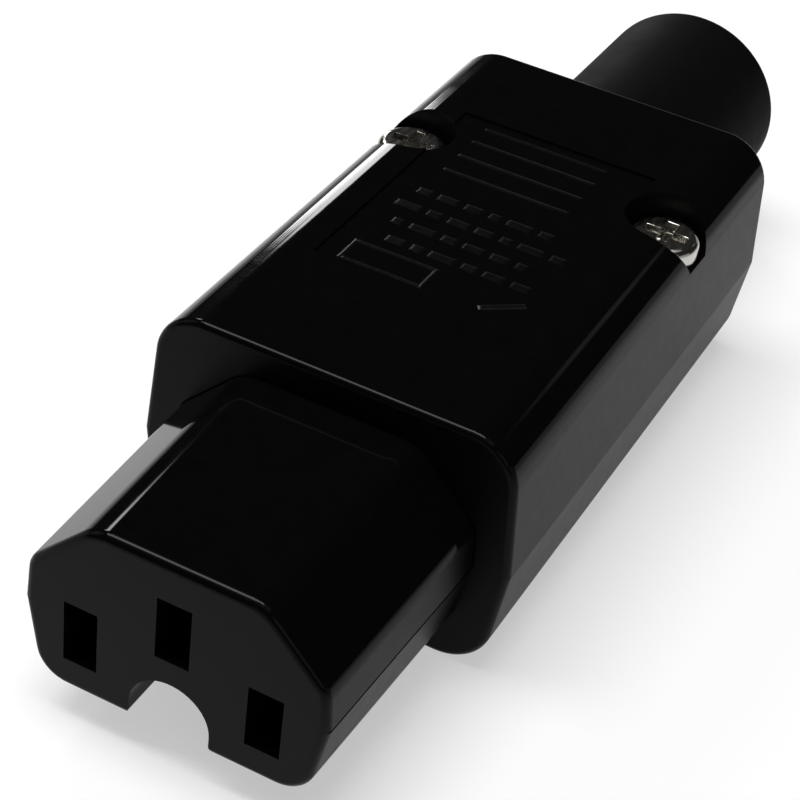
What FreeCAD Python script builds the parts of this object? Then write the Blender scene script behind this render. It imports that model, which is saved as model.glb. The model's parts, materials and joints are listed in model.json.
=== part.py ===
"""Rewirable appliance-coupler connector with three flat sockets, for a hot-condition inlet.

Frame, in millimetres: the origin is the middle of the mating face, halfway between the line and
neutral slots. +Y runs from the mating face back to the cord sleeve, +Z up to the earth side,
and X across.
"""

import FreeCAD
import Part
import math
import os

V = FreeCAD.Vector

# ---- driving dimensions ------------------------------------------------------------------

# the plane where the moulding tool parts, and where the cover meets the base
PARTING_Z = 1.4

# nose, the plug-in end
NOSE_LENGTH = 19.5
NOSE_HALF_WIDTH = 11.5
NOSE_TOP_Z = 9.65
NOSE_BOTTOM_Z = -5.1
NOSE_CHAMFER = 4.9
NOSE_TOP_EDGE_R = 3.2
NOSE_SHOULDER_R = 2.0
NOSE_CORNER_R = 2.6
NOSE_FRONT_R = 0.65
# how far the nose runs on inside the body, as the block that holds the contacts
NOSE_BLOCK = 3.1
# mould draft, in millimetres across for each millimetre along or up
NOSE_SPREAD = 0.031
NOSE_RISE = 0.008
NOSE_UPPER_DRAFT = 0.07
NOSE_LOWER_DRAFT = 0.185
SEAM_WIDTH = 0.24
SEAM_DEPTH = 0.16

# keying notch along the underside of the nose
NOTCH_R = 3.1
NOTCH_CENTRE_Z = -3.6
NOTCH_LIP_R = 0.75

# pin slots and the chambers behind them
POLE_X = 7.0
EARTH_Z = 4.0
SLOT_WIDTH = 2.6
SLOT_HEIGHT = 5.1
FRONT_WALL = 3.6
CHAMBER_WIDTH = 4.2
CHAMBER_HEIGHT = 6.0

# body
BODY_LENGTH = 49.3
BODY_HALF_WIDTH = 14.85
BODY_TOP_Z = 12.5
BODY_BOTTOM_Z = -7.8
BODY_SPREAD = 0.001
BODY_UPPER_DRAFT = 0.076
BODY_LOWER_DRAFT = 0.125
BODY_EDGE_R = 4.0
BODY_FRONT_R = 0.55
BODY_REAR_R = 0.5
WALL = 1.9
END_WALL = 2.0
NOSE_CLEARANCE = 0.08

# shallow panel on the cover, placed from the body's front
PANEL_LEFT = -8.8
PANEL_RIGHT = 8.2
PANEL_START = 12.7
PANEL_LENGTH = 25.4
PANEL_DEPTH = 0.2

# housing screws in open-sided round pockets, placed from the body's widest side and its rear
SCREW_FROM_SIDE = 3.65
SCREW_FROM_REAR = 15.8
SCREW_SEAT_Z = 9.2
SCREW_HEAD_R = 2.8
SCREW_HEAD_HEIGHT = 1.8
SCREW_SHANK_R = 1.45
SCREW_HOLE_CLEARANCE = 0.2
POCKET_CLEARANCE = 0.7
INSERT_WALL = 0.85
INSERT_HEIGHT = 6.0
INSERT_DROP = 0.3
INSERT_END_GAP = 0.1
BOSS_WALL = 2.4
THREAD_CLEARANCE = 0.05

# snap tongues that hold the front of the cover, placed from the body's front
TONGUE_START = 14.0
TONGUE_WIDTH = 4.0
TONGUE_THICK = 1.1
TONGUE_DEPTH = 4.0
TONGUE_GAP = 0.2
BARB = 0.45
BARB_HEIGHT = 0.9

# contacts, folded from brass sheet
SHEET = 0.5
CHAMBER_GAP = 0.1
SOCKET_FRONT_GAP = 0.3
SOCKET_LENGTH = 16.7
NECK_INSET = 0.15
PAD_THICK = 1.0
PAD_START = 4.1
PAD_LENGTH = 7.8
PAD_MARGIN = 0.1
COLLAR_WALL = 0.85
COLLAR_DROP = 1.4
SPRING_THICK = 0.25
SPRING_SETBACK = 2.9
SPRING_LENGTH = 5.0
SPRING_SLIT = 1.6

# terminal screws and their square clamp washers
TERMINAL_SCREW_R = 1.45
TERMINAL_HEAD_R = 2.5
TERMINAL_HEAD_HEIGHT = 1.8
TERMINAL_SCREW_LENGTH = 5.5
WASHER_MARGIN = 0.1
WASHER_THICK = 0.8
WASHER_CLEARANCE = 0.15

# terminal compartments
PARTITION_GAP = 0.2
PARTITION_TOP_Z = 7.8
PARTITION_LENGTH = 13.9
PEDESTAL_GAP = 0.05
WELL_FLOOR = 0.6
STOP_THICK = 1.2
STOP_GAP = 0.15
STOP_RISE = 0.3

# cord clamp: a saddle in the base, placed from the body's rear, and a bridge over the cord
CORD_R = 4.2
SADDLE_FROM_REAR = 24.8
SADDLE_LENGTH = 6.0
SADDLE_TOP_Z = 0.4
CLAMP_GAP = 0.1
CLAMP_LENGTH = 5.2
CLAMP_FOOT = 3.0
CLAMP_ARCH = 1.6
CLAMP_MARGIN = 0.2
CLAMP_SCREW_LENGTH = 8.0

# rubber cord sleeve
SLEEVE_R = 8.7
SLEEVE_LENGTH = 21.6
SLEEVE_TAPER = 0.0055
SLEEVE_BORE_CLEARANCE = 0.3
SLEEVE_NECK_INSET = 1.9
SLEEVE_FLANGE_LENGTH = 3.0
SLEEVE_FLANGE_GAP = 0.25
SLEEVE_END_R = 0.8
SLEEVE_GAP = 0.1

# screwdriver recesses
CROSS_WIDTH = 0.9
CROSS_SPAN_SHARE = 0.62
SLOT_DRIVE_WIDTH = 0.8
DRIVE_DEPTH = 1.0
HEAD_DOME_R = 0.7

# ---- values that follow --------------------------------------------------------------------

NOSE_END = NOSE_LENGTH + NOSE_BLOCK
BODY_Y0 = NOSE_LENGTH
BODY_Y1 = NOSE_LENGTH + BODY_LENGTH
CAVITY_Y0 = BODY_Y0 + END_WALL
CAVITY_Y1 = BODY_Y1 - END_WALL
FLOOR_Z = BODY_BOTTOM_Z + WALL
CEILING_Z = BODY_TOP_Z - WALL
CORD_Z = (BODY_TOP_Z + BODY_BOTTOM_Z) / 2
PANEL_Y = (BODY_Y0 + PANEL_START, BODY_Y0 + PANEL_START + PANEL_LENGTH)

SCREW_X = BODY_HALF_WIDTH - SCREW_FROM_SIDE
SCREW_Y = BODY_Y1 - SCREW_FROM_REAR
SCREW_HOLE_R = SCREW_SHANK_R + SCREW_HOLE_CLEARANCE
POCKET_R = SCREW_HEAD_R + POCKET_CLEARANCE
INSERT_R = SCREW_SHANK_R + INSERT_WALL
BOSS_R = INSERT_R + BOSS_WALL
INSERT_TOP_Z = PARTING_Z - INSERT_DROP
INSERT_Z = (INSERT_TOP_Z - INSERT_HEIGHT, INSERT_TOP_Z)
SCREW_LENGTH = SCREW_SEAT_Z - INSERT_Z[0] - INSERT_END_GAP

TONGUE_Y = (BODY_Y0 + TONGUE_START, BODY_Y0 + TONGUE_START + TONGUE_WIDTH)

SOCKET_WIDTH = CHAMBER_WIDTH - 2 * (SPRING_THICK + CHAMBER_GAP)
SOCKET_HEIGHT = CHAMBER_HEIGHT - 2 * (SPRING_THICK + CHAMBER_GAP)
SOCKET_Y = (FRONT_WALL + SOCKET_FRONT_GAP, FRONT_WALL + SOCKET_FRONT_GAP + SOCKET_LENGTH)
SPRING_Y = (SOCKET_Y[0] + SPRING_SETBACK, SOCKET_Y[0] + SPRING_SETBACK + SPRING_LENGTH)
WASHER_SIDE = 2 * (TERMINAL_HEAD_R + WASHER_MARGIN)
PAD_WIDTH = WASHER_SIDE + 2 * PAD_MARGIN
PAD_Y = (BODY_Y0 + PAD_START, BODY_Y0 + PAD_START + PAD_LENGTH)
PAD_MIDDLE = (PAD_Y[0] + PAD_Y[1]) / 2
COLLAR_R = TERMINAL_SCREW_R + COLLAR_WALL
WASHER_HOLE_R = TERMINAL_SCREW_R + WASHER_CLEARANCE
PARTITION_THICK = POLE_X - PAD_WIDTH - 2 * PARTITION_GAP

SADDLE_Y = BODY_Y1 - SADDLE_FROM_REAR
CLAMP_SCREW_X = CORD_R + CLAMP_ARCH + TERMINAL_HEAD_R + CLAMP_MARGIN
CLAMP_HALF_WIDTH = CLAMP_SCREW_X + TERMINAL_HEAD_R + CLAMP_MARGIN
SADDLE_HALF_WIDTH = CLAMP_HALF_WIDTH + CLAMP_MARGIN

SLEEVE_BORE_R = CORD_R + SLEEVE_BORE_CLEARANCE
SLEEVE_NECK_R = SLEEVE_R - SLEEVE_NECK_INSET
SLEEVE_FLANGE_R = (CEILING_Z - FLOOR_Z) / 2 - SLEEVE_FLANGE_GAP

FAR = 200.0
POLES = {"line": (POLE_X, 0.0), "neutral": (-POLE_X, 0.0), "earth": (0.0, EARTH_Z)}
SIDES = {"left": -1, "right": 1}


# ---- building blocks -----------------------------------------------------------------------

def box(x_span, y_span, z_span):
    size = [span[1] - span[0] for span in (x_span, y_span, z_span)]
    return Part.makeBox(size[0], size[1], size[2], V(x_span[0], y_span[0], z_span[0]))


def post(x, y, z_span, radius):
    return Part.makeCylinder(radius, z_span[1] - z_span[0], V(x, y, z_span[0]), V(0, 0, 1))


def rod(x, z, y_span, radius):
    return Part.makeCylinder(radius, y_span[1] - y_span[0], V(x, y_span[0], z), V(0, 1, 0))


def about(centre, size):
    return (centre - size / 2, centre + size / 2)


def prism_between(front, rear, y_span):
    """A closed solid with flat faces between two outlines of (x, z) points at the two y values."""
    near = [V(x, y_span[0], z) for x, z in front]
    far = [V(x, y_span[1], z) for x, z in rear]
    faces = [Part.Face(Part.makePolygon(near + near[:1]))]
    faces.append(Part.Face(Part.makePolygon(far + far[:1])))
    for i in range(len(near)):
        j = (i + 1) % len(near)
        quad = [near[i], near[j], far[j], far[i], near[i]]
        faces.append(Part.Face(Part.makePolygon(quad)))
    return Part.makeSolid(Part.makeShell(faces)).removeSplitter()


def long_edges(solid, corners, y_span):
    """The edges that run the whole length and start at one of the (x, z) corners."""
    found = []
    for edge in solid.Edges:
        if abs(edge.BoundBox.YLength - (y_span[1] - y_span[0])) > 0.01:
            continue
        start = min(edge.Vertexes, key=lambda v: v.Y).Point
        if any(math.hypot(start.x - x, start.z - z) < 0.01 for x, z in corners):
            found.append(edge)
    return found


def face_edges(solid, y):
    """Every edge of the flat end face at this y."""
    edges = []
    for edge in solid.Edges:
        if abs(edge.BoundBox.YMin - y) < 0.001 and abs(edge.BoundBox.YMax - y) < 0.001:
            edges.append(edge)
    return edges


# ---- housing ---------------------------------------------------------------------------------

def nose_outline(y, grow=0.0):
    """Nose section from the bottom left corner round to the bottom right one."""
    wide = NOSE_HALF_WIDTH + NOSE_SPREAD * y + grow
    top = NOSE_TOP_Z + NOSE_RISE * y + grow
    corner = top - NOSE_CHAMFER - grow * (2 - math.sqrt(2))
    shoulder = wide - NOSE_UPPER_DRAFT * (corner - PARTING_Z)
    foot = wide - NOSE_LOWER_DRAFT * (PARTING_Z - NOSE_BOTTOM_Z)
    right = [
        (shoulder - (top - corner), top),
        (shoulder, corner),
        (wide, PARTING_Z),
        (foot, NOSE_BOTTOM_Z),
    ]
    return [(-x, z) for x, z in reversed(right)] + right


def nose_solid(grow=0.0):
    """The nose, carried on into the body as the block that holds the contacts."""
    span = (0.0, NOSE_END)
    front = nose_outline(span[0], grow)
    solid = prism_between(front, nose_outline(span[1], grow), span)
    for corners, radius in (
        ([front[3], front[4]], NOSE_TOP_EDGE_R),
        ([front[2], front[5]], NOSE_SHOULDER_R),
        ([front[0], front[7]], NOSE_CORNER_R),
    ):
        solid = solid.makeFillet(radius, long_edges(solid, corners, span))
    return solid


def notch_cutter():
    """The keying notch with its rounded lips, cut from below."""
    lip = NOTCH_R + NOTCH_LIP_R
    lip_z = NOSE_BOTTOM_Z + NOTCH_LIP_R
    bend = NOTCH_LIP_R * math.sqrt(0.5)
    below = NOSE_BOTTOM_Z - 1.0

    def at(x, z):
        return V(x, -1.0, z)

    edges = [
        Part.LineSegment(at(-lip, below), at(-lip, NOSE_BOTTOM_Z)),
        Part.Arc(at(-lip, NOSE_BOTTOM_Z), at(bend - lip, lip_z - bend), at(-NOTCH_R, lip_z)),
        Part.LineSegment(at(-NOTCH_R, lip_z), at(-NOTCH_R, NOTCH_CENTRE_Z)),
        Part.Arc(
            at(-NOTCH_R, NOTCH_CENTRE_Z),
            at(0, NOTCH_CENTRE_Z + NOTCH_R),
            at(NOTCH_R, NOTCH_CENTRE_Z),
        ),
        Part.LineSegment(at(NOTCH_R, NOTCH_CENTRE_Z), at(NOTCH_R, lip_z)),
        Part.Arc(at(NOTCH_R, lip_z), at(lip - bend, lip_z - bend), at(lip, NOSE_BOTTOM_Z)),
        Part.LineSegment(at(lip, NOSE_BOTTOM_Z), at(lip, below)),
        Part.LineSegment(at(lip, below), at(-lip, below)),
    ]
    wire = Part.Wire([edge.toShape() for edge in edges])
    return Part.Face(wire).extrude(V(0, NOSE_LENGTH + 1.0, 0))


def seam_cutter(side):
    """A fine vee along one side of the nose at the parting plane."""

    def vee(y):
        edge = NOSE_HALF_WIDTH + NOSE_SPREAD * y
        points = [(-SEAM_DEPTH, 0), (SEAM_DEPTH, SEAM_WIDTH), (SEAM_DEPTH, -SEAM_WIDTH)]
        return [(side * (edge + dx), PARTING_Z + dz) for dx, dz in points]

    return prism_between(vee(0.0), vee(NOSE_LENGTH), (0.0, NOSE_LENGTH))


def body_half_width(y, z, inset=0.0):
    """Half the body's width at this length and height, or its inside's when it is inset."""
    draft = BODY_UPPER_DRAFT if z >= PARTING_Z else BODY_LOWER_DRAFT
    return BODY_HALF_WIDTH + BODY_SPREAD * (y - BODY_Y0) - draft * abs(z - PARTING_Z) - inset


def half_body(y_span, level, inset=0.0, past=0.0):
    """The body on one side of the parting plane; level is the height of its flat top or bottom.

    past carries it straight on beyond the parting plane, for use as a cutter.
    """
    away = 1 if level > PARTING_Z else -1
    flat = level - away * inset
    start = PARTING_Z - away * past

    def outline(y):
        low = body_half_width(y, PARTING_Z, inset)
        high = body_half_width(y, flat, inset)
        low += (low - high) * past / abs(flat - PARTING_Z)
        return [(-low, start), (-high, flat), (high, flat), (low, start)]

    front = outline(y_span[0])
    solid = prism_between(front, outline(y_span[1]), y_span)
    return solid.makeFillet(BODY_EDGE_R - inset, long_edges(solid, front[1:3], y_span))


def housing_half(level):
    """The outside of the base or the cover, with its end edges eased."""
    solid = half_body((BODY_Y0, BODY_Y1), level)
    for y, radius in ((BODY_Y0, BODY_FRONT_R), (BODY_Y1, BODY_REAR_R)):
        rim = [e for e in face_edges(solid, y) if abs(e.CenterOfMass.z - PARTING_Z) > 0.1]
        solid = solid.makeFillet(radius, rim)
    return solid


def cavity(level):
    """Room for the terminals and the cord, with the hole for the sleeve's neck."""
    room = half_body((CAVITY_Y0, CAVITY_Y1), level, WALL, 1.0)
    neck = rod(0, CORD_Z, (CAVITY_Y1 - 1, BODY_Y1 + 1), SLEEVE_NECK_R + SLEEVE_GAP)
    return room.fuse(neck)


def filling(level):
    """What may stand inside one half without showing through its outside."""
    return half_body((BODY_Y0 + 1, BODY_Y1 - 1), level, 1.0)


def pedestal(x, z):
    """The post under a terminal pad, bored for the screw's tip, with the stop behind it."""
    top = z - PAD_THICK / 2 - PEDESTAL_GAP
    solid = box(about(x, PAD_WIDTH), PAD_Y, (FLOOR_Z - 0.5, top))
    well = COLLAR_R + WASHER_CLEARANCE
    solid = solid.cut(post(x, PAD_MIDDLE, (FLOOR_Z + WELL_FLOOR, top + 1), well))
    stop_y = PAD_Y[1] + STOP_GAP
    stop_z = (FLOOR_Z - 0.5, z + STOP_RISE)
    stop = box(about(x, PAD_WIDTH), (stop_y, stop_y + STOP_THICK), stop_z)
    return solid.fuse(stop)


def base_inner():
    """Everything that stands on the base's floor."""
    parts = [pedestal(x, z) for x, z in POLES.values()]
    for side in SIDES.values():
        wall_y = (CAVITY_Y0 - 0.5, BODY_Y0 + PARTITION_LENGTH)
        wall_z = (FLOOR_Z - 0.5, PARTITION_TOP_Z)
        parts.append(box(about(side * POLE_X / 2, PARTITION_THICK), wall_y, wall_z))
        boss = post(side * SCREW_X, SCREW_Y, (FLOOR_Z - 0.5, PARTING_Z), BOSS_R)
        parts.append(boss.common(filling(BODY_BOTTOM_Z)))
    sill = about(0, 2 * (NOSE_HALF_WIDTH - NOSE_CORNER_R))
    parts.append(box(sill, (CAVITY_Y0 - 0.5, NOSE_END), (FLOOR_Z - 0.5, NOSE_BOTTOM_Z + 0.5)))
    saddle = box(
        (-SADDLE_HALF_WIDTH, SADDLE_HALF_WIDTH),
        about(SADDLE_Y, SADDLE_LENGTH),
        (FLOOR_Z - 0.5, SADDLE_TOP_Z),
    )
    parts.append(saddle.cut(rod(0, CORD_Z, about(SADDLE_Y, 2 * SADDLE_LENGTH), CORD_R)))
    solid = parts[0]
    for part in parts[1:]:
        solid = solid.fuse(part)
    return solid


def chambers():
    """The pin slots in the mating face and the contact chambers behind them."""
    cuts = []
    for x, z in POLES.values():
        cuts.append(box(about(x, SLOT_WIDTH), (-1, FRONT_WALL + 1), about(z, SLOT_HEIGHT)))
        chamber_y = (FRONT_WALL, NOSE_END + 1)
        cuts.append(box(about(x, CHAMBER_WIDTH), chamber_y, about(z, CHAMBER_HEIGHT)))
    return cuts


def base_shell():
    nose = nose_solid()
    nose = nose.makeFillet(NOSE_FRONT_R, face_edges(nose, 0.0)).cut(notch_cutter())
    lower = housing_half(BODY_BOTTOM_Z).cut(cavity(BODY_BOTTOM_Z))
    solid = lower.fuse(base_inner()).fuse(nose)
    for side in SIDES.values():
        x = side * SCREW_X
        solid = solid.cut(post(x, SCREW_Y, (INSERT_Z[0], FAR), INSERT_R + THREAD_CLEARANCE))
        pilot_z = (SADDLE_TOP_Z + CLAMP_FOOT - CLAMP_SCREW_LENGTH - 0.3, FAR)
        pilot_r = SCREW_SHANK_R + THREAD_CLEARANCE
        solid = solid.cut(post(side * CLAMP_SCREW_X, SADDLE_Y, pilot_z, pilot_r))
        solid = solid.cut(barb_pocket(side))
        solid = solid.cut(seam_cutter(side))
    for cutter in chambers():
        solid = solid.cut(cutter)
    return solid


def tongue_face():
    """Half the distance between the outer faces of the two tongues."""
    return body_half_width(TONGUE_Y[0], PARTING_Z - TONGUE_DEPTH, WALL) - TONGUE_GAP


def mirrored_span(side, near, far):
    return (near, far) if side > 0 else (-far, -near)


def barb_pocket(side):
    """The recess in the base's side wall that a cover tongue's barb springs into."""
    reach = tongue_face() + BARB + TONGUE_GAP
    low = PARTING_Z - TONGUE_DEPTH
    span = mirrored_span(side, tongue_face() - 0.1, reach)
    y_span = (TONGUE_Y[0] - TONGUE_GAP, TONGUE_Y[1] + TONGUE_GAP)
    return box(span, y_span, (low - TONGUE_GAP, low + BARB_HEIGHT + TONGUE_GAP))


def tongue(side):
    """A springy tab that hangs from the cover's side wall and ends in a barb."""
    face = tongue_face()
    low = PARTING_Z - TONGUE_DEPTH
    leaf = box(mirrored_span(side, face - TONGUE_THICK, face), TONGUE_Y, (low, PARTING_Z + 4))
    barb = box(mirrored_span(side, face - 0.1, face + BARB), TONGUE_Y, (low, low + BARB_HEIGHT))
    root_z = (PARTING_Z + 1.5, PARTING_Z + 4)
    root = box(mirrored_span(side, face - TONGUE_THICK, face + 1.0), TONGUE_Y, root_z)
    return leaf.fuse(barb).fuse(root)


def cover_shell():
    solid = housing_half(BODY_TOP_Z).cut(cavity(BODY_TOP_Z))
    for side in SIDES.values():
        boss = post(side * SCREW_X, SCREW_Y, (PARTING_Z, CEILING_Z + 1), BOSS_R)
        solid = solid.fuse(boss.common(filling(BODY_TOP_Z)))
    for side in SIDES.values():
        x = side * SCREW_X
        solid = solid.cut(post(x, SCREW_Y, (SCREW_SEAT_Z, FAR), POCKET_R))
        solid = solid.cut(post(x, SCREW_Y, (-FAR, FAR), SCREW_HOLE_R))
        solid = solid.fuse(tongue(side))
    solid = solid.cut(nose_solid(NOSE_CLEARANCE))
    panel_z = (BODY_TOP_Z - PANEL_DEPTH, BODY_TOP_Z + 1)
    panel = box((PANEL_LEFT, PANEL_RIGHT), PANEL_Y, panel_z)
    return solid.cut(panel)


# ---- contacts ----------------------------------------------------------------------------------

def contact(x, z):
    """Folded brass: a box socket for the pin, a neck, and a flat pad with a threaded collar."""
    solid = box(about(x, SOCKET_WIDTH), SOCKET_Y, about(z, SOCKET_HEIGHT))
    inside = (SOCKET_Y[0] - 1, SOCKET_Y[1] + 1)
    width = SOCKET_WIDTH - 2 * SHEET
    solid = solid.cut(box(about(x, width), inside, about(z, SOCKET_HEIGHT - 2 * SHEET)))
    level = about(z, PAD_THICK)
    neck = about(x, SOCKET_WIDTH - 2 * NECK_INSET)
    solid = solid.fuse(box(neck, (SOCKET_Y[1] - 2.0, PAD_Y[0] + 1), level))
    solid = solid.fuse(box(about(x, PAD_WIDTH), PAD_Y, level))
    solid = solid.fuse(post(x, PAD_MIDDLE, (level[0] - COLLAR_DROP, level[1]), COLLAR_R))
    hole = TERMINAL_SCREW_R + THREAD_CLEARANCE
    return solid.cut(post(x, PAD_MIDDLE, (level[0] - COLLAR_DROP - 1, level[1] + 1), hole))


def contact_spring(x, z):
    """A steel clip round the socket that keeps its grip when hot, open along the bottom."""
    width = SOCKET_WIDTH + 2 * SPRING_THICK
    height = SOCKET_HEIGHT + 2 * SPRING_THICK
    solid = box(about(x, width), SPRING_Y, about(z, height))
    inside = (SPRING_Y[0] - 1, SPRING_Y[1] + 1)
    solid = solid.cut(box(about(x, SOCKET_WIDTH), inside, about(z, SOCKET_HEIGHT)))
    return solid.cut(box(about(x, SPRING_SLIT), inside, (z - height, z)))


# ---- fasteners -----------------------------------------------------------------------------------

def screw(x, y, seat_z, head_r, head_height, length, shank_r, drive):
    """A pan-head screw that hangs down from its seat; drive is cross or slot."""
    head = post(x, y, (seat_z, seat_z + head_height), head_r)
    rim = [e for e in head.Edges if e.BoundBox.ZMin > seat_z + head_height - 0.01]
    head = head.makeFillet(HEAD_DOME_R, rim)
    top = seat_z + head_height
    recess_z = (top - DRIVE_DEPTH, top + 1)
    if drive == "cross":
        span = 2 * head_r * CROSS_SPAN_SHARE
        head = head.cut(box(about(x, span), about(y, CROSS_WIDTH), recess_z))
        head = head.cut(box(about(x, CROSS_WIDTH), about(y, span), recess_z))
    else:
        head = head.cut(box(about(x, 3 * head_r), about(y, SLOT_DRIVE_WIDTH), recess_z))
    return head.fuse(post(x, y, (seat_z - length, seat_z), shank_r))


def housing_screw(side):
    return screw(
        side * SCREW_X, SCREW_Y, SCREW_SEAT_Z,
        SCREW_HEAD_R, SCREW_HEAD_HEIGHT, SCREW_LENGTH, SCREW_SHANK_R, "cross",
    )


def threaded_insert(side):
    """A brass bush in the base boss that the housing screw threads into."""
    solid = post(side * SCREW_X, SCREW_Y, INSERT_Z, INSERT_R)
    return solid.cut(post(side * SCREW_X, SCREW_Y, (-FAR, FAR), SCREW_SHANK_R + THREAD_CLEARANCE))


def terminal_washer(x, z):
    low = z + PAD_THICK / 2
    level = (low, low + WASHER_THICK)
    solid = box(about(x, WASHER_SIDE), about(PAD_MIDDLE, WASHER_SIDE), level)
    return solid.cut(post(x, PAD_MIDDLE, (low - 1, level[1] + 1), WASHER_HOLE_R))


def terminal_screw(x, z):
    seat = z + PAD_THICK / 2 + WASHER_THICK
    return screw(
        x, PAD_MIDDLE, seat,
        TERMINAL_HEAD_R, TERMINAL_HEAD_HEIGHT, TERMINAL_SCREW_LENGTH, TERMINAL_SCREW_R, "slot",
    )


# ---- cord clamp and sleeve ---------------------------------------------------------------------

def cord_clamp():
    """A bridge over the cord with a flat foot on each side for its screw."""
    low = SADDLE_TOP_Z + CLAMP_GAP
    y_span = about(SADDLE_Y, CLAMP_LENGTH)
    feet = box((-CLAMP_HALF_WIDTH, CLAMP_HALF_WIDTH), y_span, (low, low + CLAMP_FOOT))
    arch = rod(0, CORD_Z, y_span, CORD_R + CLAMP_ARCH)
    arch = arch.common(box((-FAR, FAR), y_span, (low, FAR)))
    solid = feet.fuse(arch).cut(rod(0, CORD_Z, about(SADDLE_Y, 2 * CLAMP_LENGTH), CORD_R))
    solid = solid.cut(box((-CORD_R, CORD_R), y_span, (low - 1, CORD_Z)))
    for side in SIDES.values():
        solid = solid.cut(post(side * CLAMP_SCREW_X, SADDLE_Y, (-FAR, FAR), SCREW_HOLE_R))
    return solid


def clamp_screw(side):
    seat = SADDLE_TOP_Z + CLAMP_GAP + CLAMP_FOOT
    return screw(
        side * CLAMP_SCREW_X, SADDLE_Y, seat,
        TERMINAL_HEAD_R, TERMINAL_HEAD_HEIGHT, CLAMP_SCREW_LENGTH, SCREW_SHANK_R, "slot",
    )


def cord_sleeve():
    """A rubber sleeve, trapped by the flange inside the rear wall."""
    end_r = SLEEVE_R - SLEEVE_TAPER * SLEEVE_LENGTH
    start = V(0, BODY_Y1, CORD_Z)
    outer = Part.makeCone(SLEEVE_R, end_r, SLEEVE_LENGTH, start, V(0, 1, 0))
    outer = outer.makeFillet(SLEEVE_END_R, face_edges(outer, BODY_Y1 + SLEEVE_LENGTH))
    neck = rod(0, CORD_Z, (CAVITY_Y1 - 1, BODY_Y1 + 1), SLEEVE_NECK_R)
    flange_end = CAVITY_Y1 - SLEEVE_GAP
    flange = rod(0, CORD_Z, (flange_end - SLEEVE_FLANGE_LENGTH, flange_end), SLEEVE_FLANGE_R)
    bore = rod(0, CORD_Z, (flange_end - FAR, BODY_Y1 + FAR), SLEEVE_BORE_R)
    return outer.fuse(neck).fuse(flange).cut(bore)


# ---- the set of nodes ----------------------------------------------------------------------------

def build():
    nodes = {"base_shell": base_shell(), "cover_shell": cover_shell()}
    for pole, (x, z) in POLES.items():
        nodes[pole + "_contact"] = contact(x, z)
        nodes[pole + "_contact_spring"] = contact_spring(x, z)
        nodes[pole + "_clamp_washer"] = terminal_washer(x, z)
        nodes[pole + "_terminal_screw"] = terminal_screw(x, z)
    for name, side in SIDES.items():
        nodes["housing_screw_" + name] = housing_screw(side)
        nodes["threaded_insert_" + name] = threaded_insert(side)
        nodes["clamp_screw_" + name] = clamp_screw(side)
    nodes["cord_clamp"] = cord_clamp()
    nodes["cord_sleeve"] = cord_sleeve()
    return nodes


os.makedirs("parts", exist_ok=True)
for node, shape in build().items():
    solids = shape.removeSplitter().Solids
    shape = solids[0] if len(solids) == 1 else Part.makeCompound(solids)
    print(node, "solids", len(solids), "valid", shape.isValid(), "volume", round(shape.Volume, 1))
    shape.exportStep(os.path.join("parts", node + ".step"))
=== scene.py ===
"""Looks for the rewirable appliance connector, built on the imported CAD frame.

The object's own sizes are in mm, times MM; the studio's are in metres.
"""

import itertools
import json
import math

import bmesh
import bpy
from mathutils import Matrix, Vector


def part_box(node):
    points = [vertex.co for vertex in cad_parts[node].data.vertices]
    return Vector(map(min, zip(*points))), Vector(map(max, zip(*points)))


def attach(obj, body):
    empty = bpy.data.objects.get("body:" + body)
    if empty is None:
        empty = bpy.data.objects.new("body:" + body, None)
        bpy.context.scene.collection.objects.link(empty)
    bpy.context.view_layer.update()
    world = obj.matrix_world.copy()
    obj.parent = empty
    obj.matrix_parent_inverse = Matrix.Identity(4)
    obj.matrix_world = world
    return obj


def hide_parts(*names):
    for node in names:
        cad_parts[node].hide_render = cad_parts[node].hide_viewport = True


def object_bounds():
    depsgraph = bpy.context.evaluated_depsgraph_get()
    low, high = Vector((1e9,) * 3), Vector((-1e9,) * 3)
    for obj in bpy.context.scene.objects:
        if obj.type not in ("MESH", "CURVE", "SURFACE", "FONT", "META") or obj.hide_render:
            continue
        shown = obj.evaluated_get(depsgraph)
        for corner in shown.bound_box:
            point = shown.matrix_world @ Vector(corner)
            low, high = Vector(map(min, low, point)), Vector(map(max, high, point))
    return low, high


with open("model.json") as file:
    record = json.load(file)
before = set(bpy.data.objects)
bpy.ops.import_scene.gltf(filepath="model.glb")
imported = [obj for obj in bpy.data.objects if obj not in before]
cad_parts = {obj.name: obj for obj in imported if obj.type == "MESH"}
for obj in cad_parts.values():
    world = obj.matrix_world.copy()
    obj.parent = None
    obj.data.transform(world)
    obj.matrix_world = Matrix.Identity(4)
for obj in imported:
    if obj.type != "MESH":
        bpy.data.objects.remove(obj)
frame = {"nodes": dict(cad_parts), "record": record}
packed_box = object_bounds()

MM = 0.001


def linear(hex_colour):
    """An sRGB hex colour as the linear RGBA that Blender's sockets take."""
    def channel(pair):
        value = int(pair, 16) / 255
        return value / 12.92 if value <= 0.04045 else ((value + 0.055) / 1.055) ** 2.4

    digits = hex_colour.lstrip("#")
    return tuple(channel(digits[i:i + 2]) for i in (0, 2, 4)) + (1.0,)


def socket(sockets, name):
    """The socket in use with this name or number; a Mix node keeps unused ones of the same name."""
    if isinstance(name, int):
        return sockets[name]
    return next((s for s in sockets if s.enabled and s.name == name), None)


def add_node(tree, kind, settings=None, links=None):
    """One node: settings go to its properties or sockets, links to its sockets."""
    node = tree.nodes.new(kind)
    for name, value in (settings or {}).items():
        place = socket(node.inputs, name)
        if place is None:
            setattr(node, name, value)
        else:
            place.default_value = value
    for name, source in (links or {}).items():
        tree.links.new(source, socket(node.inputs, name))
    return node


def blank_material(name):
    """A material with an empty node tree."""
    material = bpy.data.materials.new(name)
    material.use_nodes = True
    material.node_tree.nodes.clear()
    return material, material.node_tree


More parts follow.
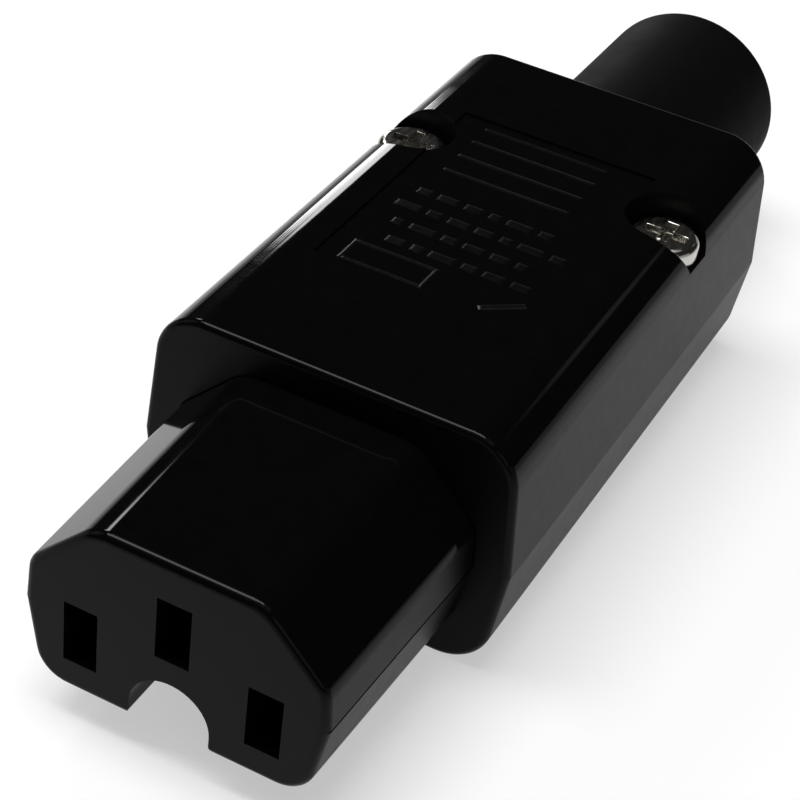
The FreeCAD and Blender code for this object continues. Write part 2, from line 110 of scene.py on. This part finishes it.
def finish_material(tree, constants, colour, roughness, normal):
    """The surface of a piece: what is the same all over it, and what its patterns change."""
    shader = add_node(tree, "ShaderNodeBsdfPrincipled", constants, {
        "Base Color": colour, "Roughness": roughness, "Normal": normal,
    })
    add_node(tree, "ShaderNodeOutputMaterial", None, {"Surface": shader.outputs[0]})


# ---- materials --------------------------------------------------------------------------

def grain_scale(size):
    """Noise scale whose features are about this many mm across on Object coordinates."""
    return 1 / (size * MM)


def black_thermoset(name, gloss, dull):
    """Black urea moulding, polished on top and satin on its ends and sides.

    The eye gets reflections on the top and the chamfers that swim a little, from mould-flow
    waviness of 3 mm under a fainter orange peel of 0.9 mm. The upright faces, where the tool is
    stoned, blur what they reflect. A faint handling haze makes the gloss uneven; it is really
    much finer than 1.3 mm, and is drawn that coarse so that it shows. Gloss and dull are the
    roughness of the level faces in and out of the haze.
    """
    material, tree = blank_material(name)
    coords = add_node(tree, "ShaderNodeTexCoord")
    where = coords.outputs["Object"]
    haze = add_node(tree, "ShaderNodeTexNoise", {
        "Scale": grain_scale(1.3), "Detail": 4.0, "Roughness": 0.6,
    }, {"Vector": where})
    tint = add_node(tree, "ShaderNodeMix", {
        "data_type": "RGBA", "A": linear("#040404"), "B": linear("#080808"),
    }, {"Factor": haze.outputs["Fac"]})
    polish = add_node(tree, "ShaderNodeMapRange", {
        "From Min": 0.35, "From Max": 0.75, "To Min": gloss, "To Max": dull,
    }, {"Value": haze.outputs["Fac"]})
    satin = add_node(tree, "ShaderNodeMapRange", {
        "From Min": 0.3, "From Max": 0.7, "To Min": 0.39, "To Max": 0.43,
    }, {"Value": haze.outputs["Fac"]})
    facing = add_node(tree, "ShaderNodeSeparateXYZ", None, {"Vector": coords.outputs["Normal"]})
    level = add_node(tree, "ShaderNodeMath", {"operation": "ABSOLUTE"}, {0: facing.outputs["Z"]})
    upright = add_node(tree, "ShaderNodeMapRange", {
        "interpolation_type": "SMOOTHSTEP",
        "From Min": 0.15, "From Max": 0.45, "To Min": 1.0, "To Max": 0.0,
    }, {"Value": level.outputs[0]})
    finish = add_node(tree, "ShaderNodeMix", {"data_type": "FLOAT"}, {
        "Factor": upright.outputs["Result"],
        "A": polish.outputs["Result"], "B": satin.outputs["Result"],
    })
    flow = add_node(tree, "ShaderNodeTexNoise", {
        "Scale": grain_scale(3.0), "Detail": 1.0,
    }, {"Vector": where})
    peel = add_node(tree, "ShaderNodeTexNoise", {
        "Scale": grain_scale(0.9), "Detail": 2.0,
    }, {"Vector": where})
    wave = add_node(tree, "ShaderNodeBump", {
        "Strength": 1.0, "Distance": 0.004 * MM,
    }, {"Height": flow.outputs["Fac"]})
    skin = add_node(tree, "ShaderNodeBump", {
        "Strength": 1.0, "Distance": 0.0008 * MM,
    }, {"Height": peel.outputs["Fac"], "Normal": wave.outputs["Normal"]})
    finish_material(
        tree, {"IOR": 1.5, "Specular IOR Level": 0.08},
        socket(tint.outputs, "Result"), socket(finish.outputs, "Result"), skin.outputs["Normal"],
    )
    return material


def sleeve_rubber():
    """Black rubber from a blasted tool: an even satin, softly duller where it was handled."""
    material, tree = blank_material("satin_black_rubber")
    where = add_node(tree, "ShaderNodeTexCoord").outputs["Object"]
    patches = add_node(tree, "ShaderNodeTexNoise", {
        "Scale": grain_scale(4.0), "Detail": 3.0,
    }, {"Vector": where})
    sheen = add_node(tree, "ShaderNodeMapRange", {
        "From Min": 0.3, "From Max": 0.7, "To Min": 0.56, "To Max": 0.68,
    }, {"Value": patches.outputs["Fac"]})
    tint = add_node(tree, "ShaderNodeMix", {
        "data_type": "RGBA", "A": linear("#070707"), "B": linear("#0b0b0b"),
    }, {"Factor": patches.outputs["Fac"]})
    # the blasted grain is about 0.05 mm; it is drawn at 0.3 mm so that it shows
    grain = add_node(tree, "ShaderNodeTexNoise", {
        "Scale": grain_scale(0.3), "Detail": 2.0,
    }, {"Vector": where})
    skin = add_node(tree, "ShaderNodeBump", {
        "Strength": 1.0, "Distance": 0.003 * MM,
    }, {"Height": grain.outputs["Fac"]})
    finish_material(
        tree, {"IOR": 1.5, "Specular IOR Level": 0.03},
        socket(tint.outputs, "Result"), sheen.outputs["Result"], skin.outputs["Normal"],
    )
    return material


def tumbled_metal(name, colour, dark, gloss, dull, scratch):
    """Small barrel-plated or pressed metal parts: bright, with fine crossing tumbling marks.

    The marks are really 0.02 mm wide; they are drawn at the scratch size, in mm, so that they
    show. The two colours are the clean metal and its faint stain, and gloss and dull are the
    roughness between the marks and in them.
    """
    material, tree = blank_material(name)
    where = add_node(tree, "ShaderNodeTexCoord").outputs["Object"]
    stretch = add_node(tree, "ShaderNodeMapping", {
        "Scale": (1.0, 0.25, 1.0), "Rotation": (0.0, 0.3, 0.7),
    }, {"Vector": where})
    marks = add_node(tree, "ShaderNodeTexNoise", {
        "Scale": grain_scale(scratch), "Detail": 5.0,
    }, {"Vector": stretch.outputs["Vector"]})
    stain = add_node(tree, "ShaderNodeTexNoise", {
        "Scale": grain_scale(1.8), "Detail": 3.0,
    }, {"Vector": where})
    tint = add_node(tree, "ShaderNodeMix", {
        "data_type": "RGBA", "A": linear(colour), "B": linear(dark),
    }, {"Factor": stain.outputs["Fac"]})
    polish = add_node(tree, "ShaderNodeMapRange", {
        "From Min": 0.3, "From Max": 0.7, "To Min": gloss, "To Max": dull,
    }, {"Value": marks.outputs["Fac"]})
    skin = add_node(tree, "ShaderNodeBump", {
        "Strength": 1.0, "Distance": 0.0006 * MM,
    }, {"Height": marks.outputs["Fac"]})
    finish_material(
        tree, {"Metallic": 1.0},
        socket(tint.outputs, "Result"), polish.outputs["Result"], skin.outputs["Normal"],
    )
    return material


def moulded_nylon():
    """Black nylon from a lightly textured tool: soft satin with a fine even grain."""
    material, tree = blank_material("moulded_black_nylon")
    where = add_node(tree, "ShaderNodeTexCoord").outputs["Object"]
    grain = add_node(tree, "ShaderNodeTexNoise", {
        "Scale": grain_scale(0.35), "Detail": 3.0,
    }, {"Vector": where})
    tint = add_node(tree, "ShaderNodeMix", {
        "data_type": "RGBA", "A": linear("#1a1a1c"), "B": linear("#232326"),
    }, {"Factor": grain.outputs["Fac"]})
    satin = add_node(tree, "ShaderNodeMapRange", {
        "To Min": 0.42, "To Max": 0.58,
    }, {"Value": grain.outputs["Fac"]})
    skin = add_node(tree, "ShaderNodeBump", {
        "Strength": 1.0, "Distance": 0.006 * MM,
    }, {"Height": grain.outputs["Fac"]})
    finish_material(
        tree, {"IOR": 1.53},
        socket(tint.outputs, "Result"), satin.outputs["Result"], skin.outputs["Normal"],
    )
    return material


SHELL = black_thermoset("polished_black_thermoset", 0.055, 0.08)
# the tool is etched where it marks the panel, so the marks keep a softer sheen than the panel
ETCHED = black_thermoset("etched_black_thermoset", 0.26, 0.34)
SLEEVE = sleeve_rubber()
NICKEL = tumbled_metal("nickel_plated_steel", "#cecbc5", "#a9a7a1", 0.12, 0.26, 0.3)
SPRING_STEEL = tumbled_metal("rolled_spring_steel", "#b4b5b6", "#9a9a9b", 0.2, 0.32, 0.3)
BRASS = tumbled_metal("pressed_brass", "#d0ab5e", "#b8924a", 0.2, 0.34, 0.35)
NYLON = moulded_nylon()


# ---- pieces -----------------------------------------------------------------------------

WELD = 0.001                      # CAD corners nearer than this, in mm, are one
FLAT_ANGLE = math.radians(0.3)    # faces that turn less than this are one flat
SHARP_ANGLE = math.radians(35)    # edges that turn more than this stay crisp
HEAD_EASE = 0.12                  # tumbling rounds a screw's edges


def placed(bm, name, material):
    """The finished mesh as an object at the origin."""
    mesh = bpy.data.meshes.new(name)
    bm.to_mesh(mesh)
    bm.free()
    mesh.materials.append(material)
    piece = bpy.data.objects.new(name, mesh)
    bpy.context.scene.collection.objects.link(piece)
    return piece


def is_sharp(edge):
    return edge.is_manifold and edge.calc_face_angle() > SHARP_ANGLE


def smoothed(node_name, material, ease=0.0):
    """A merged copy of a CAD node with smooth roundings and its sharp edges eased, in mm."""
    bm = bmesh.new()
    bm.from_mesh(frame["nodes"][node_name].data)
    bmesh.ops.remove_doubles(bm, verts=bm.verts, dist=WELD * MM)
    bmesh.ops.dissolve_limit(
        bm, angle_limit=FLAT_ANGLE, verts=bm.verts, edges=bm.edges, use_dissolve_boundaries=False
    )
    if ease:
        bmesh.ops.bevel(
            bm, geom=[e for e in bm.edges if is_sharp(e)], offset=ease * MM, offset_type="OFFSET",
            affect="EDGES", segments=2, profile=0.5, material=-1, clamp_overlap=True,
        )
    for face in bm.faces:
        face.smooth = True
    for edge in bm.edges:
        edge.smooth = not is_sharp(edge)
    piece = placed(bm, node_name + "_moulding", material)
    weighted = piece.modifiers.new("even_normals", "WEIGHTED_NORMAL")
    weighted.mode = "FACE_AREA_WITH_ANGLE"
    weighted.keep_sharp = True
    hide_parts(node_name)
    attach(piece, "root")


smoothed("base_shell", SHELL)
smoothed("cover_shell", SHELL)
smoothed("cord_sleeve", SLEEVE)
for side in ("left", "right"):
    smoothed("housing_screw_" + side, NICKEL, HEAD_EASE)

# ---- raised marks on the panel ------------------------------------------------------------

# across, marks are placed from the middle plane; along, from the cover's front edge
COVER_FRONT = round(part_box("cover_shell")[0][1] / MM, 3)
PANEL_DEPTH = 0.2
PANEL_FLOOR = round(packed_box[1][2] / MM, 3) - PANEL_DEPTH
MARK_ROOT = 0.1                   # how far a mark reaches down into the panel, unseen
MARK_HEIGHT = 0.03
MARK_SLOPE = 0.18
SLOPE_SHARE = 0.4                 # at most this share of a narrow mark slopes on each side

BAR_LENGTHS = (1.5, 0.9, 2.1, 1.2, 1.7)
BAR_GAP = 0.6
BAR_HALF = 0.45
ROW_SPANS = ((-5.4, 7.0), (-6.2, 6.6), (-7.2, 7.2), (-6.6, 5.6))
FIRST_ROW, ROW_PITCH = 17.8, 2.5

RULE_LEVELS = (29.3, 31.9, 34.5, 36.9)
RULE_SPAN = (-6.4, 4.5)
RULE_HALF = 0.22

FRAME_LEVELS = (13.5, 16.1)
FRAME_SIDES = (-7.0, -0.3)
FRAME_HALF = 0.2
FRAME_TUCK = 0.1                  # the long bars end this far inside the middle of the short ones

SLANT_SPAN, SLANT_LEVELS = (3.9, 7.5), (14.45, 15.05)
SLANT_TURN = math.radians(38)


def raised_bar(bm, x, y, height=MARK_HEIGHT, turn=0.0):
    """A plain low bar with sloping sides between the x and y spans, standing on the panel."""
    made = bmesh.ops.create_cube(bm, size=1.0)["verts"]
    size = (x[1] - x[0], y[1] - y[0], MARK_ROOT)
    middle = ((x[0] + x[1]) / 2, COVER_FRONT + (y[0] + y[1]) / 2, PANEL_FLOOR - size[2] / 2)
    place = Matrix.Translation([m * MM for m in middle]) @ Matrix.Rotation(turn, 4, "Z")
    full_size = Matrix.Diagonal([s * MM for s in size] + [1.0])
    bmesh.ops.transform(bm, verts=made, matrix=place @ full_size)
    faces = {face for vert in made for face in vert.link_faces}
    top = max(faces, key=lambda face: face.calc_center_median().z)
    slope = min(MARK_SLOPE, SLOPE_SHARE * size[0], SLOPE_SHARE * size[1])
    bmesh.ops.inset_region(
        bm, faces=[top], thickness=slope * MM, depth=height * MM, use_even_offset=True,
    )


def panel_marks():
    """Plain raised bars, ruled lines and a blank frame where such a cover carries its marking."""
    bm = bmesh.new()
    for row, (left, right) in enumerate(ROW_SPANS):
        level = FIRST_ROW + ROW_PITCH * row
        start = left
        lengths = itertools.cycle(BAR_LENGTHS[row:] + BAR_LENGTHS[:row])
        length = next(lengths)
        while start + length <= right:
            raised_bar(bm, (start, start + length), (level - BAR_HALF, level + BAR_HALF))
            start += length + BAR_GAP
            length = next(lengths)
    for level in RULE_LEVELS:
        raised_bar(bm, RULE_SPAN, (level - RULE_HALF, level + RULE_HALF))
    for level in FRAME_LEVELS:
        raised_bar(
            bm, (FRAME_SIDES[0] + FRAME_TUCK, FRAME_SIDES[1] - FRAME_TUCK),
            (level - FRAME_HALF, level + FRAME_HALF),
        )
    for edge in FRAME_SIDES:
        raised_bar(
            bm, (edge - FRAME_HALF, edge + FRAME_HALF),
            (FRAME_LEVELS[0] - FRAME_HALF, FRAME_LEVELS[1] + FRAME_HALF),
        )
    raised_bar(bm, SLANT_SPAN, SLANT_LEVELS, 2 * MARK_HEIGHT, SLANT_TURN)
    piece = placed(bm, "panel_marks", ETCHED)
    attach(piece, "root")


panel_marks()

FINISH = {"brass": BRASS, "spring": SPRING_STEEL, "screw": NICKEL, "clamp": NYLON}
for part in frame["record"]["subparts"]:
    if part["material_slot"] in FINISH:
        node = frame["nodes"][part["node"]]
        node.data.materials.clear()
        node.data.materials.append(FINISH[part["material_slot"]])


# ---- studio, in metres ------------------------------------------------------------------

FLOOR_Z = packed_box[0][2]
FLOOR_SIZE = 6.0
# a pool of light is painted on the paper: white round this point out to the first distance, and
# grey past the second as painted shade
PAINTED_POOL_MIDDLE = (-0.012, 0.060, 0.0)
PAINTED_POOL_OUT_TO, PAINTED_SHADE_FROM = 0.074, 0.15

SCREEN_WIDTHS = (1.2, 1.2, 0.7, 1.2)
SCREEN_HEIGHT = 0.4
SCREEN_DISTANCE = 1.6


def paper_card(name, size, place, material):
    """A flat card of this size, set up by the matrix; it isn't part of the object."""
    bm = bmesh.new()
    bmesh.ops.create_grid(bm, x_segments=1, y_segments=1, size=0.5)
    bmesh.ops.scale(bm, verts=bm.verts, vec=(size[0], size[1], 1))
    bmesh.ops.transform(bm, verts=bm.verts, matrix=place)
    placed(bm, name, material)


def paper_with_painted_pool(name, far_colour, near_share, far_share):
    """Matt white sheet with a painted pool of light round the object, greying away as painted
    shade.

    The eye, the glossy parts and the clear ones see these shares of plain colour, near and far,
    and the rest as lit, which keeps the object's shadow but softens it.
    """
    material, tree = blank_material(name)
    where = add_node(tree, "ShaderNodeTexCoord").outputs["Object"]
    centred = add_node(tree, "ShaderNodeMapping", {
        "Location": [-side for side in PAINTED_POOL_MIDDLE],
    }, {"Vector": where})
    spread = add_node(tree, "ShaderNodeVectorMath", {
        "operation": "LENGTH",
    }, {"Vector": centred.outputs["Vector"]})
    away = add_node(tree, "ShaderNodeMapRange", {
        "interpolation_type": "SMOOTHSTEP", "From Min": PAINTED_POOL_OUT_TO, "From Max": PAINTED_SHADE_FROM,
    }, {"Value": spread.outputs["Value"]})
    # painted pool of light: the sheet's colour and its plain colour are white near the object and
    # painted shade far from it
    sheet = add_node(tree, "ShaderNodeMix", {
        "data_type": "RGBA", "A": linear("#fbfbfb"), "B": linear(far_colour),
    }, {"Factor": away.outputs["Result"]})
    bright = add_node(tree, "ShaderNodeMix", {
        "data_type": "RGBA", "A": linear("#ffffff"), "B": linear(far_colour),
    }, {"Factor": away.outputs["Result"]})
    lit = add_node(tree, "ShaderNodeBsdfDiffuse", None, {
        "Color": socket(sheet.outputs, "Result"),
    })
    plain = add_node(tree, "ShaderNodeEmission", {"Strength": 1.0}, {
        "Color": socket(bright.outputs, "Result"),
    })
    ray = add_node(tree, "ShaderNodeLightPath")
    direct = add_node(tree, "ShaderNodeMath", {"operation": "MAXIMUM"}, {
        0: ray.outputs["Is Camera Ray"], 1: ray.outputs["Is Glossy Ray"],
    })
    seen = add_node(tree, "ShaderNodeMath", {"operation": "MAXIMUM"}, {
        0: direct.outputs[0], 1: ray.outputs["Is Transmission Ray"],
    })
    plainness = add_node(tree, "ShaderNodeMapRange", {
        "To Min": near_share, "To Max": far_share,
    }, {"Value": away.outputs["Result"]})
    share = add_node(tree, "ShaderNodeMath", {"operation": "MULTIPLY"}, {
        0: seen.outputs[0], 1: plainness.outputs["Result"],
    })
    blend = add_node(tree, "ShaderNodeMixShader", None, {
        0: share.outputs[0], 1: lit.outputs[0], 2: plain.outputs[0],
    })
    add_node(tree, "ShaderNodeOutputMaterial", None, {"Surface": blend.outputs[0]})
    return material


FLOOR_PAPER = paper_with_painted_pool("paper_with_painted_pool", "#bcbcbc", 0.5, 0.75)
SCREEN_PAPER = paper_with_painted_pool("screen_paper", "#b8b8b8", 1.0, 1.0)

paper_card("floor", (FLOOR_SIZE, FLOOR_SIZE), Matrix.Translation((0, 0, FLOOR_Z)), FLOOR_PAPER)
# paper screens stand far off, square to the object, where a low view looks past the floor
standing = Matrix.Rotation(math.radians(90), 4, "X")
screen_place = Matrix.Translation((0, SCREEN_DISTANCE, FLOOR_Z + SCREEN_HEIGHT / 2))
for side, width in enumerate(SCREEN_WIDTHS):
    round_to_side = Matrix.Rotation(math.radians(90 * side), 4, "Z")
    paper_card(
        "screen_%d" % side, (width, SCREEN_HEIGHT), round_to_side @ screen_place @ standing,
        SCREEN_PAPER,
    )


LAMP_TARGET = (0, 0.03, 0)


def area_light(name, place, size, watts):
    """A soft rectangular lamp that faces the object."""
    lamp = bpy.data.lights.new(name, "AREA")
    lamp.shape = "RECTANGLE"
    lamp.size, lamp.size_y = size
    lamp.energy = watts
    holder = bpy.data.objects.new(name, lamp)
    holder.location = place
    toward = Vector(LAMP_TARGET) - Vector(place)
    holder.rotation_euler = toward.to_track_quat("-Z", "Y").to_euler()
    bpy.context.scene.collection.objects.link(holder)


# the soft box draws the lines on the front edges; the wide lamp only lightens the shadows
area_light("soft_box", (-0.135, 0.0, 0.68), (0.24, 0.56), 4.6)
area_light("wide_lamp", (0.0, -0.05, 0.80), (0.9, 0.9), 1.2)

# Soft round windows of the room: azimuth from +Y towards +X, elevation, the radius of the full
# light and the radius where it ends, all in degrees, and the strength.
WINDOWS = (
    # a slim upright row and a larger one beside it draw the lines on the left edges
    (-39.2, 4.0, 2.0, 3.4, 14.0),
    (-38.6, 8.5, 2.0, 3.4, 14.0),
    (-37.5, 13.0, 2.0, 3.4, 14.0),
    (-35.9, 17.5, 2.0, 3.4, 14.0),
    (-46.7, 33.2, 3.3, 5.8, 20.0),
    # a faint one shows along the cover's right edge
    (25.5, 29.2, 0.5, 4.0, 0.6),
    # wide dim ones give the back and the sides something to mirror
    (128.0, 24.0, 4.0, 20.0, 0.7),
    (-105.0, 30.0, 4.0, 20.0, 0.7),
)
ROOM_LIGHT = 0.02


def window(tree, view, azimuth, elevation, inner, outer, strength):
    """The light of one window in each direction of the room."""
    turn, rise = math.radians(azimuth), math.radians(elevation)
    toward = (math.sin(turn) * math.cos(rise), math.cos(turn) * math.cos(rise), math.sin(rise))
    close = add_node(tree, "ShaderNodeVectorMath", {
        "operation": "DOT_PRODUCT", 1: toward,
    }, {0: view})
    return add_node(tree, "ShaderNodeMapRange", {
        "interpolation_type": "SMOOTHSTEP",
        "From Min": math.cos(math.radians(outer)), "From Max": math.cos(math.radians(inner)),
        "To Min": 0.0, "To Max": strength,
    }, {"Value": close.outputs["Value"]}).outputs["Result"]


world = bpy.data.worlds.new("studio")
bpy.context.scene.world = world
world.use_nodes = True
tree = world.node_tree
tree.nodes.clear()
view = add_node(tree, "ShaderNodeTexCoord").outputs["Generated"]
shine = window(tree, view, *WINDOWS[0])
for sizes in WINDOWS[1:]:
    shine = add_node(tree, "ShaderNodeMath", {"operation": "MAXIMUM"}, {
        0: shine, 1: window(tree, view, *sizes),
    }).outputs[0]
room = add_node(tree, "ShaderNodeMath", {"operation": "ADD", 1: ROOM_LIGHT}, {0: shine})
back = add_node(tree, "ShaderNodeBackground", {"Color": (1, 1, 1, 1)}, {
    "Strength": room.outputs[0],
})
add_node(tree, "ShaderNodeOutputWorld", None, {"Surface": back.outputs[0]})

# ---- camera -----------------------------------------------------------------------------

CAMERA_PLACE = (0.049656, -0.085004, 0.098840)
CAMERA_TURN, CAMERA_DIP, CAMERA_ROLL = 23.118, 37.120, 7.604
LENS, SENSOR = 95.886, 36.0

camera_data = bpy.data.cameras.new("camera")
camera_data.lens = LENS
camera_data.sensor_width = SENSOR
camera_data.clip_start = 0.01
camera_data.clip_end = 20
camera = bpy.data.objects.new("camera", camera_data)
turn = Matrix.Rotation(math.radians(CAMERA_TURN), 4, "Z")
tilt = Matrix.Rotation(math.radians(90 - CAMERA_DIP), 4, "X")
roll = Matrix.Rotation(math.radians(CAMERA_ROLL), 4, "Z")
camera.matrix_world = Matrix.Translation(CAMERA_PLACE) @ turn @ tilt @ roll
bpy.context.scene.collection.objects.link(camera)
bpy.context.scene.camera = camera
bpy.context.scene.view_settings.view_transform = "Standard"
